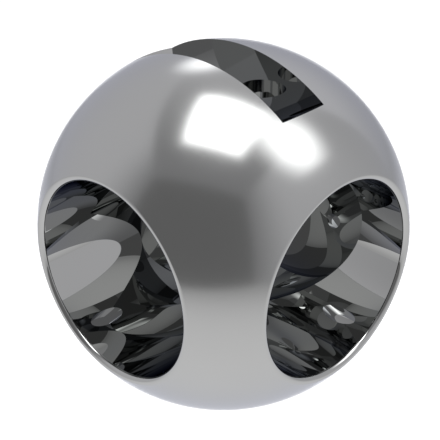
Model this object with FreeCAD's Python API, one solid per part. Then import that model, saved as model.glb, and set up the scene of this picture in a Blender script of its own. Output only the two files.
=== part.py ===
import FreeCAD, Part

import math
import os

# L-port ball of a three-way floating ball valve, turned from one piece of bar.
# The origin is the centre of the sphere. The stem comes down on +Z, the two
# ports open on +X and -Y, and the passage turns a right angle between them.

# Driving dimensions, in millimetres
BALL_DIAMETER = 94.0          # sealing sphere
PORT_DIAMETER = 50.0          # full bore of both ports
RIM_RADIUS = 1.2              # rounding of each port's mouth, kind to the seat rings
SLOT_WIDTH = 14.0             # stem slot, across the flats of the stem's tang
SLOT_CUTTER_DIAMETER = 115.0  # disc cutter that leaves the slot's arched floor
SLOT_WEB = 8.0                # thinnest metal between the slot's floor and the passage
VENT_DIAMETER = 11.5          # hole that lets the body cavity breathe into the passage
CUTTER_OVERRUN = 5.0          # how far each boring tool stands out of the sphere

# Angles, in degrees
DRILL_POINT_ANGLE = 140.0     # full angle of the drill that opened the long bore
SEAM_TURN = 180.0             # turns the sphere's seam away from port A

# Sizes that follow from them
ball_radius = BALL_DIAMETER / 2
port_radius = PORT_DIAMETER / 2
cutter_radius = SLOT_CUTTER_DIAMETER / 2
mouth_distance = math.sqrt(ball_radius ** 2 - port_radius ** 2)
drill_point = port_radius / math.tan(math.radians(DRILL_POINT_ANGLE / 2))
slot_floor = port_radius + SLOT_WEB
tool_reach = ball_radius + CUTTER_OVERRUN

CENTRE = FreeCAD.Vector(0, 0, 0)
TOWARDS_PORT_A = FreeCAD.Vector(1, 0, 0)
TOWARDS_PORT_B = FreeCAD.Vector(0, -1, 0)
TOWARDS_STEM = FreeCAD.Vector(0, 0, 1)
ACROSS_SLOT = FreeCAD.Vector(0, 1, 0)


def drilled(radius, start, towards):
    """The metal that a round tool takes out between start and the outside."""
    length = tool_reach - start.dot(towards)
    return Part.makeCylinder(radius, length, start, towards)


def passage():
    """Port B is drilled past the centre and ends in the drill's point. Port A runs into it."""
    bore_b_end = TOWARDS_PORT_B * -port_radius
    bore_b = drilled(port_radius, bore_b_end, TOWARDS_PORT_B)
    point_b = Part.makeCone(port_radius, 0, drill_point, bore_b_end, -TOWARDS_PORT_B)
    bore_a = drilled(port_radius, CENTRE, TOWARDS_PORT_A)
    return bore_b.fuse([point_b, bore_a])


def stem_slot():
    """The cutter's disc, sunk straight into the crown until its rim is at the slot's floor."""
    hub = TOWARDS_STEM * (slot_floor + cutter_radius) - ACROSS_SLOT * (SLOT_WIDTH / 2)
    return Part.makeCylinder(cutter_radius, SLOT_WIDTH, hub, ACROSS_SLOT)


def vent_hole():
    """A round hole on the stem's axis, from the slot's floor down into the passage."""
    return drilled(VENT_DIAMETER / 2, CENTRE, TOWARDS_STEM)


def mouth_edges(solid):
    """The two circles where the bores break out of the sphere."""
    mouths = [TOWARDS_PORT_A * mouth_distance, TOWARDS_PORT_B * mouth_distance]
    return [
        edge
        for edge in solid.Edges
        if not edge.Degenerated
        and isinstance(edge.Curve, Part.Circle)
        and any(edge.Curve.Center.isEqual(mouth, RIM_RADIUS / 2) for mouth in mouths)
    ]


def valve_ball():
    """The sphere with its passage, slot and vent cut, and the ports' mouths rounded."""
    sphere = Part.makeSphere(ball_radius)
    sphere.rotate(CENTRE, TOWARDS_STEM, SEAM_TURN)
    machined = sphere.cut([passage(), stem_slot(), vent_hole()])
    rounded = machined.makeFillet(RIM_RADIUS, mouth_edges(machined))
    return rounded.Solids[0]


os.makedirs("parts", exist_ok=True)
valve_ball().exportStep("parts/valve_ball.step")
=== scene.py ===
import math

import bmesh
import bpy
import numpy as np
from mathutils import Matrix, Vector


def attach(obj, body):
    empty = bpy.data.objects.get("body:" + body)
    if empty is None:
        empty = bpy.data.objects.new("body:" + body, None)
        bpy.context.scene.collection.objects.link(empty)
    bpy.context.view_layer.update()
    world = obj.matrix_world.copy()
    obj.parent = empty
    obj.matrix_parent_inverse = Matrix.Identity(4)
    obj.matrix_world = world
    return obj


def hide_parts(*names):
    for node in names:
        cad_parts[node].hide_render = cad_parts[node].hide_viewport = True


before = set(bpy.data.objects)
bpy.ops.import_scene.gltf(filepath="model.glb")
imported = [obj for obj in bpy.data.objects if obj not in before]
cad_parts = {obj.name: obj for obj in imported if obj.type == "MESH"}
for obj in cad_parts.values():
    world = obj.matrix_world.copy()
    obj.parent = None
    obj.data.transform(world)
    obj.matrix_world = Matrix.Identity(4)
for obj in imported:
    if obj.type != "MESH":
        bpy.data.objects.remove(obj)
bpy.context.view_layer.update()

# Ball: the object's one piece, turned from a bar of stainless steel, bored through both ports,
# drilled for the vent and slotted across the crown, with its sphere lapped last. This piece is the
# packed ball with its facets divided more finely and drawn onto the true surfaces they stand for.
BALL_RADIUS = 0.047          # in metres, as all lengths are
BORE_RADIUS = 0.025
MOUTH_ROUNDING = 0.0012
DRILL_POINT_ANGLE = math.radians(140)
VENT_RADIUS = 0.00575
SLOT_HALF_WIDTH = 0.007
SLOT_FLOOR = 0.033
SLOT_CUTTER_RADIUS = 0.0575
WELD_DISTANCE = 1e-6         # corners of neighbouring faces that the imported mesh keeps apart
SURFACE_TOLERANCE = 2e-5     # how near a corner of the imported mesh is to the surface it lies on
SHORTEST_VECTOR = 1e-12      # the least length that a vector is divided by
REFINEMENTS = 4              # how often the facets are divided
SETTLING_ROUNDS = 8          # turns in which a corner on an edge settles onto both its surfaces
# the facets that one gives, by its number of cut sides; corners are 0 to 2, side middles 3 to 5
DIVISIONS = {
    0: [[0, 1, 2]],
    1: [[0, 3, 2], [3, 1, 2]],
    2: [[3, 1, 4], [0, 3, 4], [0, 4, 2]],
    3: [[0, 3, 5], [3, 1, 4], [5, 4, 2], [3, 4, 5]],
}
ALONG_X, ALONG_Y, ALONG_Z = np.eye(3)


def unit(vectors):
    """The vectors at a length of 1."""
    return vectors / np.maximum(np.linalg.norm(vectors, axis=1, keepdims=True), SHORTEST_VECTOR)


def lengthwise(points, axis):
    """What a point's place measures along the axis, as a vector."""
    return (points @ axis)[:, None] * axis


# A surface takes points, and gives the nearest points on it and the way out of the metal there.
def sphere(points):
    out = unit(points)
    return out * BALL_RADIUS, out


def bore(points, axis, radius, hub=0):
    from_hub = points - hub
    outwards = unit(from_hub - lengthwise(from_hub, axis))
    return hub + lengthwise(from_hub, axis) + outwards * radius, -outwards


def rounded_mouth(points, axis):
    ring_radius = BORE_RADIUS + MOUTH_ROUNDING
    ring_distance = math.sqrt((BALL_RADIUS - MOUTH_ROUNDING) ** 2 - ring_radius ** 2)
    ring = unit(points - lengthwise(points, axis)) * ring_radius + axis * ring_distance
    out = unit(points - ring)
    return ring + out * MOUTH_ROUNDING, out


def drill_point(points):
    half_angle = DRILL_POINT_ANGLE / 2
    tip = ALONG_Y * (BORE_RADIUS + BORE_RADIUS / math.tan(half_angle))
    outwards = unit(points - lengthwise(points, ALONG_Y))
    out = -outwards * math.cos(half_angle) - ALONG_Y * math.sin(half_angle)
    return points - out * ((points - tip) * out).sum(axis=1, keepdims=True), out


def slot_wall(points, side):
    wall = points.copy()
    wall[:, 1] = side * SLOT_HALF_WIDTH
    return wall, np.tile(-side * ALONG_Y, (len(points), 1))


slot_hub = (SLOT_FLOOR + SLOT_CUTTER_RADIUS) * ALONG_Z
# the finish that each surface has, the surface, and its own settings
BALL_SURFACES = [
    ("lapped", sphere, {}),
    ("bored along x", bore, {"axis": ALONG_X, "radius": BORE_RADIUS}),
    ("bored along x", rounded_mouth, {"axis": ALONG_X}),
    ("bored along y", bore, {"axis": ALONG_Y, "radius": BORE_RADIUS}),
    ("bored along y", rounded_mouth, {"axis": -ALONG_Y}),
    ("bored along y", drill_point, {}),
    ("bored along z", bore, {"axis": ALONG_Z, "radius": VENT_RADIUS}),
    ("milled", bore, {"axis": ALONG_Y, "radius": SLOT_CUTTER_RADIUS, "hub": slot_hub}),
    ("milled", slot_wall, {"side": 1}),
    ("milled", slot_wall, {"side": -1}),
]
# how deep a facet may lie under its surface: least where each wall is mirrored in the next
FACET_DEPTH = {sphere: 1e-5, rounded_mouth: 3e-6, bore: 1e-6, drill_point: 1e-6, slot_wall: 1e-6}

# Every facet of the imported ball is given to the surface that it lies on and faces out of.
skin = bmesh.new()
skin.from_mesh(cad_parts["valve_ball"].data)
bmesh.ops.remove_doubles(skin, verts=skin.verts, dist=WELD_DISTANCE)
skin.verts.index_update()
points = np.array([vertex.co[:] for vertex in skin.verts])
facets = np.array([[vertex.index for vertex in face.verts] for face in skin.faces])
facing = np.array([face.normal[:] for face in skin.faces])
skin.free()
misfit = []
for _, surface, settings in BALL_SURFACES:
    nearest, out = surface(points, **settings)
    distance = np.linalg.norm(nearest - points, axis=1)[facets].max(axis=1)
    turned = 1 - (unit(out[facets].sum(axis=1)) * facing).sum(axis=1)
    misfit.append(distance / SURFACE_TOLERANCE + turned)
surface_of = np.argmin(misfit, axis=0)

for _ in range(REFINEMENTS):
    # a facet's side is cut in two where its middle lies too deep under the surface on either side
    sides = np.sort(facets[:, [[0, 1], [1, 2], [2, 0]]], axis=2)
    edges, edge_of = np.unique(sides.reshape(-1, 2), axis=0, return_inverse=True)
    edge_of = edge_of.reshape(-1, 3)
    middles = points[edges].mean(axis=1)
    cut = np.zeros(len(edges), bool)
    for index, (_, surface, settings) in enumerate(BALL_SURFACES):
        here = np.unique(edge_of[surface_of == index])
        depth = np.linalg.norm(surface(middles[here], **settings)[0] - middles[here], axis=1)
        cut[here] |= depth > FACET_DEPTH[surface]
    middle_of = len(points) + np.cumsum(cut) - 1
    points = np.concatenate([points, middles[cut]])
    divided, divided_surface = [], []
    for cuts, pattern in DIVISIONS.items():
        chosen = np.flatnonzero(cut[edge_of].sum(axis=1) == cuts)
        # each facet is turned so that the sides to cut come first
        to_cut = cut[edge_of[chosen]]
        turn = np.argmax([to_cut[:, np.roll(range(3), -step)][:, :cuts].all(axis=1) for step in range(3)],
                         axis=0)
        order = (np.arange(3) + turn[:, None]) % 3
        corners = np.take_along_axis(facets[chosen], order, axis=1)
        mids = np.take_along_axis(middle_of[edge_of[chosen]], order, axis=1)
        divided += [np.concatenate([corners, mids], axis=1)[:, piece] for piece in pattern]
        divided_surface += [surface_of[chosen]] * len(pattern)
    facets, surface_of = np.concatenate(divided), np.concatenate(divided_surface)
    for _ in range(SETTLING_ROUNDS):
        for index, (_, surface, settings) in enumerate(BALL_SURFACES):
            here = np.unique(facets[surface_of == index])
            points[here] = surface(points[here], **settings)[0]
ball_mesh = bpy.data.meshes.new("ball")
ball_mesh.from_pydata(points.tolist(), [], facets.tolist())

# The true directions of the surfaces are kept on the mesh too, so that reflections run on without
# facets and still break sharply along the machined edges. Each is taken a trace inside its facet's
# corner, because the tip of the drill point has no direction of its own.
INWARDS = 0.001              # the trace, as a share of the way to the facet's middle
corners = points[facets]
corners += (corners.mean(axis=1, keepdims=True) - corners) * INWARDS
directions = np.zeros_like(corners)
for index, (_, surface, settings) in enumerate(BALL_SURFACES):
    here = corners[surface_of == index]
    directions[surface_of == index] = surface(here.reshape(-1, 3), **settings)[1].reshape(-1, 3, 3)
ball_mesh.polygons.foreach_set("use_smooth", [True] * len(ball_mesh.polygons))
ball_mesh.normals_split_custom_set(directions.reshape(-1, 3).tolist())
ball = bpy.data.objects.new("ball", ball_mesh)
bpy.context.scene.collection.objects.link(ball)


def linear(hex_colour):
    """A colour written as sRGB hex, as the linear values that a shader takes."""
    values = [int(hex_colour[start:start + 2], 16) / 255 for start in (1, 3, 5)]
    return tuple(v / 12.92 if v <= 0.04045 else ((v + 0.055) / 1.055) ** 2.4 for v in values) + (1,)


def add(tree, kind, settings=None, links=None):
    """A new node. Settings go to its sockets, by name or number, or else to the node itself."""
    made = tree.nodes.new(kind)
    for name, value in (settings or {}).items():
        if isinstance(name, int) or name in made.inputs:
            made.inputs[name].default_value = value
        else:
            setattr(made, name, value)
    for name, source in (links or {}).items():
        tree.links.new(source, made.inputs[name])
    return made


def steel_marks(tree, place, mark_size):
    """Lighter and darker marks, as large as mark_size says in metres along X, Y and Z."""
    stretched = add(tree, "ShaderNodeVectorMath", {"operation": "MULTIPLY", 1: [1 / s for s in mark_size]},
                    {0: place})
    return add(tree, "ShaderNodeTexNoise", {"Scale": 1.0, "Detail": 2.0, "Roughness": 0.5},
               {"Vector": stretched.outputs[0]}).outputs[0]


def bare_stainless(name, marks, roughness, relief):
    """Marks are the sizes of the tool's streaks. Roughness is a range, and relief the bump's depth."""
    material = bpy.data.materials.new(name)
    material.use_nodes = True
    tree = material.node_tree
    shader = tree.nodes["Principled BSDF"]
    shader.inputs["Metallic"].default_value = 1
    shader.inputs["Specular Tint"].default_value = STEEL_EDGE
    place = add(tree, "ShaderNodeTexCoord").outputs["Object"]
    streaks = [steel_marks(tree, place, mark_size) for mark_size in marks]
    share = 1 / len(streaks)
    pattern = add(tree, "ShaderNodeMath", {"operation": "MULTIPLY", 1: share}, {0: streaks[0]}).outputs[0]
    for streak in streaks[1:]:
        pattern = add(tree, "ShaderNodeMath", {"operation": "MULTIPLY_ADD", 1: share},
                      {0: streak, 2: pattern}).outputs[0]
    film = steel_marks(tree, place, [FILM_PATCH] * 3)
    # inputs 6 and 7 of this node are its two colours, and output 2 is their blend
    tone = add(tree, "ShaderNodeMix", {"data_type": "RGBA", 6: STEEL_CLEAN, 7: STEEL_FILMED},
               {"Factor": film})
    blended = add(tree, "ShaderNodeMix", {"Factor": 0.5}, {"A": film, "B": pattern})
    rough = add(tree, "ShaderNodeMapRange",
                {"From Min": MARKS_LOW, "From Max": MARKS_HIGH,
                 "To Min": roughness[0], "To Max": roughness[1]}, {"Value": blended.outputs[0]})
    bump = add(tree, "ShaderNodeBump", {"Strength": 1.0, "Distance": relief}, {"Height": pattern})
    tree.links.new(tone.outputs[2], shader.inputs["Base Color"])
    tree.links.new(rough.outputs[0], shader.inputs["Roughness"])
    tree.links.new(bump.outputs[0], shader.inputs["Normal"])
    return material


# Stainless steel is a light grey, a trace green where light has run from wall to wall. Seen at a
# flat angle it mirrors hardly more than face on, so the ball's outline keeps its grey, a trace blue.
STEEL_CLEAN, STEEL_FILMED, STEEL_EDGE = linear("#BEBFBE"), linear("#B9BAB9"), linear("#E5E7F0")
FILM_PATCH = 0.03            # handling leaves a faint film, in patches about two fingers wide
MARKS_LOW, MARKS_HIGH = 0.3, 0.7     # the values between which nearly all of the marks lie
# Lapping with fine paste leaves a satin that spreads each lamp into a soft glow. Its scratches
# are some 0.02 mm wide and cross at all angles: they are drawn at 0.4 mm, as crossing streaks.
SCRATCH_WIDTH, SCRATCH_LENGTH = 0.0004, 0.006
scratches = [(SCRATCH_WIDTH, SCRATCH_LENGTH, SCRATCH_LENGTH),
             (SCRATCH_LENGTH, SCRATCH_WIDTH, SCRATCH_LENGTH)]
lapped_steel = bare_stainless("lapped_stainless_steel", scratches, roughness=(0.165, 0.2), relief=4e-7)
# Boring leaves rings round the tool's way, 0.1 mm apart, and honing takes them down until the
# bore is nearly a mirror. The rings are drawn at 0.8 mm, where they only dull it by a trace.
RING_PITCH, RING_LENGTH = 0.0008, 0.2
bored_steel = {}
for direction, axis in enumerate("xyz"):
    rings = [RING_LENGTH] * 3
    rings[direction] = RING_PITCH
    bored_steel["bored along " + axis] = bare_stainless("bored_stainless_steel_" + axis, [rings],
                                                        roughness=(0.0, 0.015), relief=2e-9)
# The disc cutter's teeth leave short lines across the slot, 0.3 mm apart, drawn at 0.6 mm. They
# are shallow, so the slot's walls and floor still mirror each other.
TOOTH_PITCH, TOOTH_LENGTH = 0.0006, 0.004
milled_steel = bare_stainless("milled_stainless_steel", [(TOOTH_PITCH, TOOTH_LENGTH, TOOTH_LENGTH)],
                              roughness=(0.0, 0.02), relief=4e-9)
finishes = {"lapped": lapped_steel, "milled": milled_steel, **bored_steel}
for steel in finishes.values():
    ball_mesh.materials.append(steel)
finish_order = list(finishes)
surface_finish = np.array([finish_order.index(finish) for finish, *_ in BALL_SURFACES])
ball_mesh.polygons.foreach_set("material_index", surface_finish[surface_of].astype(np.int32))
ball_mesh.update()
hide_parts("valve_ball")
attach(ball, "root")
# Light runs on from wall to wall of the mirror-bright passage and dims only by half each time.
# The first of these bounces are all followed, which keeps the dark reflections free of grain.
PASSAGE_BOUNCES, SURE_BOUNCES = 20, 10
bpy.context.scene.cycles.max_bounces = PASSAGE_BOUNCES
bpy.context.scene.cycles.glossy_bounces = PASSAGE_BOUNCES
bpy.context.scene.cycles.min_light_bounces = SURE_BOUNCES

# Camera: it looks at the ball's centre from between the two ports, 30 degrees above them, with the
# long lens that a small part is pictured with. The shift is the frame's few pixels off centre.
IMAGE_SIZE = 440
CAMERA_AZIMUTH, CAMERA_ELEVATION = 44.6, 29.77
CAMERA_DISTANCE_IN_RADII = 6.36
BALL_RADIUS_IN_IMAGE = 186.3
BALL_CENTRE_IN_IMAGE = (223.55, 224.1)


def towards(azimuth, elevation):
    """The way out to a place at these degrees. Azimuth 0 is on port B's side, and 90 on port A's."""
    side, height = math.radians(azimuth), math.radians(elevation)
    return Vector((math.sin(side) * math.cos(height), -math.cos(side) * math.cos(height),
                   math.sin(height)))


camera = bpy.data.objects.new("camera", bpy.data.cameras.new("camera"))
bpy.context.scene.collection.objects.link(camera)
towards_camera = towards(CAMERA_AZIMUTH, CAMERA_ELEVATION)
camera.location = towards_camera * (CAMERA_DISTANCE_IN_RADII * BALL_RADIUS)
camera.rotation_euler = towards_camera.to_track_quat("Z", "Y").to_euler()
# the ball's outline is where lines from the camera touch it, a little nearer than its middle
focal_pixels = BALL_RADIUS_IN_IMAGE * math.sqrt(CAMERA_DISTANCE_IN_RADII ** 2 - 1)
camera.data.lens = camera.data.sensor_width * focal_pixels / IMAGE_SIZE
camera.data.shift_x = 0.5 - BALL_CENTRE_IN_IMAGE[0] / IMAGE_SIZE
camera.data.shift_y = BALL_CENTRE_IN_IMAGE[1] / IMAGE_SIZE - 0.5
camera.data.clip_start = 0.01
bpy.context.scene.camera = camera

# Studio: a small room of glowing white boards stands round the ball, turned so that its dim front
# board is to the left of the camera. The boards are no lamps: their glow is painted light and shade of a
# lit room, and they show only in the steel.
# In the room's own axes X runs to the front board, Y to the right-hand one, and the ball is at 0.
ROOM_TURN = math.radians(-67)
ROOM_FRONT, ROOM_BACK, ROOM_SIDE, ROOM_TOP, ROOM_FLOOR = 1.0, -1.44, 0.8, 1.21, -0.1445


def board(name, outline, colour, level, along=None, span=None, end_level=None):
    """A flat card, which glows by its colour times a level. Along is X, Z or the distance from the
    room's middle, and over that span, in metres, the level changes to end_level."""
    mesh = bpy.data.meshes.new(name)
    mesh.from_pydata(outline, [], [range(len(outline))])
    made = bpy.data.objects.new(name, mesh)
    made.rotation_euler.z = ROOM_TURN
    bpy.context.scene.collection.objects.link(made)
    made.visible_camera = False
    made.visible_shadow = False
    made.visible_diffuse = False
    # a card's glow, at its level and in its change across the card, is painted light and shade
    material = bpy.data.materials.new(name + "_card_painted_light")
    material.use_nodes = True
    material.cycles.emission_sampling = "NONE"
    tree = material.node_tree
    tree.nodes.clear()
    glow = add(tree, "ShaderNodeEmission", {"Color": linear(colour), "Strength": level})
    add(tree, "ShaderNodeOutputMaterial", links={"Surface": glow.outputs[0]})
    if along:
        place = add(tree, "ShaderNodeTexCoord").outputs["Object"]
        if along == "distance":
            reach = add(tree, "ShaderNodeVectorMath", {"operation": "LENGTH"}, {0: place}).outputs["Value"]
        else:
            reach = add(tree, "ShaderNodeSeparateXYZ", links={0: place}).outputs[along]
        changing = add(tree, "ShaderNodeMapRange",
                       {"interpolation_type": "SMOOTHSTEP", "From Min": span[0], "From Max": span[1],
                        "To Min": level, "To Max": end_level}, {"Value": reach})
        tree.links.new(changing.outputs[0], glow.inputs["Strength"])
    mesh.materials.append(material)


def upright(corner_a, corner_b):
    """The outline of a board that stands on the floor between two corners and reaches the top."""
    return [(*corner_a, ROOM_FLOOR), (*corner_b, ROOM_FLOOR), (*corner_b, ROOM_TOP), (*corner_a, ROOM_TOP)]


# the cards' paints differ by a trace of rose or blue
ROSE_WHITE, COOL_WHITE, BLUE_WHITE = "#FFFEFF", "#FDFCFF", "#FCFBFF"
RIGHT_BOARDS_MEET = 0.1      # how far towards the front board the two on the right meet
front_left, front_right = (ROOM_FRONT, -ROOM_SIDE), (ROOM_FRONT, ROOM_SIDE)
back_left, back_right = (ROOM_BACK, -ROOM_SIDE), (ROOM_BACK, ROOM_SIDE)
side_right = (RIGHT_BOARDS_MEET, ROOM_SIDE)
# each board's level and its change to end_level are painted light and shade; the front board's low level is
# painted shade
board("front_board", upright(front_left, front_right), ROSE_WHITE, level=0.195)
board("left_board", upright(front_left, back_left), COOL_WHITE, level=0.34,
      along="X", span=(1.0, 0.25), end_level=0.68)
board("right_board", upright(front_right, side_right), COOL_WHITE, level=0.33,
      along="X", span=(1.0, 0.25), end_level=0.64)
board("right_rear_board", upright(side_right, back_right), COOL_WHITE, level=0.645,
      along="X", span=(RIGHT_BOARDS_MEET, -1.0), end_level=0.57)
board("back_board", upright(back_left, back_right), BLUE_WHITE, level=0.60,
      along="Z", span=(-0.2, 0.9), end_level=0.78)
board("top_board", [(x, y, ROOM_TOP) for x, y in (front_left, front_right, back_right, back_left)],
      COOL_WHITE, level=0.315, along="X", span=(0.6, -1.3), end_level=0.68)
# The floor's card lies just over the paper. It leaves out the stretch behind the ball that the
# camera sees, from near the ball to the room's left and back, so there the steel mirrors the paper.
CARD_OVER_PAPER = 0.002
left_out = [(-1.05, -ROOM_SIDE), (-0.015, -0.124), (-0.096, 0.08), (ROOM_BACK, -0.18)]
# its glow, bright near the ball and fading outwards, is painted light on the room's floor
board("floor_board",
      [(x, y, ROOM_FLOOR + CARD_OVER_PAPER) for x, y in (front_left, *left_out, back_right, front_right)],
      ROSE_WHITE, level=0.965, along="distance", span=(0.0, 0.95), end_level=0.56)

# Floor: a wide sheet of matt white paper lies under the ball and catches the lamps' soft shadows.
# Its tone changes a little across the sheet. Paper gives back less light than falls on it, so where
# it is seen or mirrored, some white is added.
PAPER_REACH = 3.0            # from its middle to each side
PAPER_MOTTLE = 0.05          # how wide its lighter and darker stretches are
PAPER_CLEAR, PAPER_DULL = linear("#F5F5F5"), linear("#F1F1F2")
PAPER_LIFT = 0.3
floor_mesh = bpy.data.meshes.new("paper_floor")
floor_mesh.from_pydata([(-PAPER_REACH, -PAPER_REACH, ROOM_FLOOR), (PAPER_REACH, -PAPER_REACH, ROOM_FLOOR),
                        (PAPER_REACH, PAPER_REACH, ROOM_FLOOR), (-PAPER_REACH, PAPER_REACH, ROOM_FLOOR)],
                       [], [range(4)])
floor = bpy.data.objects.new("paper_floor", floor_mesh)
bpy.context.scene.collection.objects.link(floor)
paper = bpy.data.materials.new("matt_white_paper")
paper.use_nodes = True
floor_mesh.materials.append(paper)
tree = paper.node_tree
shader = tree.nodes["Principled BSDF"]
shader.inputs["Roughness"].default_value = 0.9
shader.inputs["Emission Color"].default_value = linear("#FFFFFF")
place = add(tree, "ShaderNodeTexCoord").outputs["Object"]
mottle = add(tree, "ShaderNodeTexNoise", {"Scale": 1 / PAPER_MOTTLE, "Detail": 3.0}, {"Vector": place})
tone = add(tree, "ShaderNodeMix", {"data_type": "RGBA", 6: PAPER_CLEAR, 7: PAPER_DULL},
           {"Factor": mottle.outputs[0]})
tree.links.new(tone.outputs[2], shader.inputs["Base Color"])


def seen_directly(tree):
    """1 for rays from the camera and for those that metal or glass sends on, and 0 for the rest."""
    path = add(tree, "ShaderNodeLightPath").outputs
    mirrored = add(tree, "ShaderNodeMath", {"operation": "MAXIMUM"},
                   {0: path["Is Glossy Ray"], 1: path["Is Transmission Ray"]})
    return add(tree, "ShaderNodeMath", {"operation": "MAXIMUM"},
               {0: path["Is Camera Ray"], 1: mirrored.outputs[0]}).outputs[0]


lift = add(tree, "ShaderNodeMath", {"operation": "MULTIPLY", 1: PAPER_LIFT}, {0: seen_directly(tree)})
tree.links.new(lift.outputs[0], shader.inputs["Emission Strength"])

# World: the rest of the studio, pale and even all round. It is white, at strength 1, where it is
# seen or mirrored, and matt things get only a plain grey level of its light.
WORLD_LIGHT = 0.5
world = bpy.data.worlds.new("studio_white")
bpy.context.scene.world = world
world.use_nodes = True
tree = world.node_tree
background = tree.nodes["Background"]
background.inputs["Color"].default_value = linear("#FFFFFF")
strength = add(tree, "ShaderNodeMapRange", {"To Min": WORLD_LIGHT, "To Max": 1.0},
               {"Value": seen_directly(tree)})
tree.links.new(strength.outputs[0], background.inputs["Strength"])

# Lamps: a square softbox hangs over the ball, an oval one stands high on the camera's right, and a
# small round one behind the ball. Their cloth fronts are brightest in the middle, so what the steel
# mirrors of them has no hard edge.
STRAIGHT_ABOVE = 90


def lamp(name, shape, azimuth, elevation, distance, size, radiance, fade):
    """A softbox that faces the ball. Its radiance falls to nothing between the two places that fade
    gives, where 0 is the middle and 1 the rim, and a fall from below 0 has begun in the middle."""
    light = bpy.data.lights.new(name, "AREA")
    light.shape = shape
    light.size, light.size_y = size
    area = size[0] * size[1] * (1 if shape == "RECTANGLE" else math.pi / 4)
    light.energy = radiance * math.pi * area
    light.use_nodes = True
    tree = light.node_tree
    tree.nodes.clear()
    # a place on the lamp runs from 0 to 1 each way, and is turned to run from -1 to 1
    across = add(tree, "ShaderNodeNewGeometry").outputs["Parametric"]
    centred = add(tree, "ShaderNodeVectorMath", {"operation": "MULTIPLY_ADD", 1: (2, 2, 0), 2: (-1, -1, 0)},
                  {0: across})
    if shape == "RECTANGLE":
        outwards = add(tree, "ShaderNodeVectorMath", {"operation": "ABSOLUTE"}, {0: centred.outputs[0]})
        sides = add(tree, "ShaderNodeSeparateXYZ", links={0: outwards.outputs[0]}).outputs
        reach = add(tree, "ShaderNodeMath", {"operation": "MAXIMUM"}, {0: sides[0], 1: sides[1]}).outputs[0]
    else:
        reach = add(tree, "ShaderNodeVectorMath", {"operation": "LENGTH"},
                    {0: centred.outputs[0]}).outputs["Value"]
    level = add(tree, "ShaderNodeMapRange",
                {"interpolation_type": "SMOOTHSTEP", "From Min": fade[0], "From Max": fade[1],
                 "To Min": 1.0, "To Max": 0.0}, {"Value": reach})
    glow = add(tree, "ShaderNodeEmission", links={"Strength": level.outputs[0]})
    add(tree, "ShaderNodeOutputLight", links={"Surface": glow.outputs[0]})
    made = bpy.data.objects.new(name, light)
    bpy.context.scene.collection.objects.link(made)
    made.location = towards(azimuth, elevation) * distance
    if elevation == STRAIGHT_ABOVE:
        made.rotation_euler.z = ROOM_TURN
    else:
        made.rotation_euler = towards(azimuth, elevation).to_track_quat("Z", "Y").to_euler()
    made.visible_camera = False


lamp("overhead_softbox", "RECTANGLE", azimuth=0, elevation=STRAIGHT_ABOVE, distance=1.15,
     size=(0.834, 0.834), radiance=6.6, fade=(0.412, 1.0))
lamp("right_softbox", "ELLIPSE", azimuth=129.8, elevation=55.2, distance=1.0,
     size=(0.86, 1.06), radiance=5.3, fade=(-0.5, 1.0))
lamp("left_softbox", "ELLIPSE", azimuth=-127.2, elevation=38.8, distance=1.0,
     size=(0.45, 0.45), radiance=2.1, fade=(0.0, 1.0))

# Colours show as they are written.
bpy.context.scene.view_settings.view_transform = "Standard"
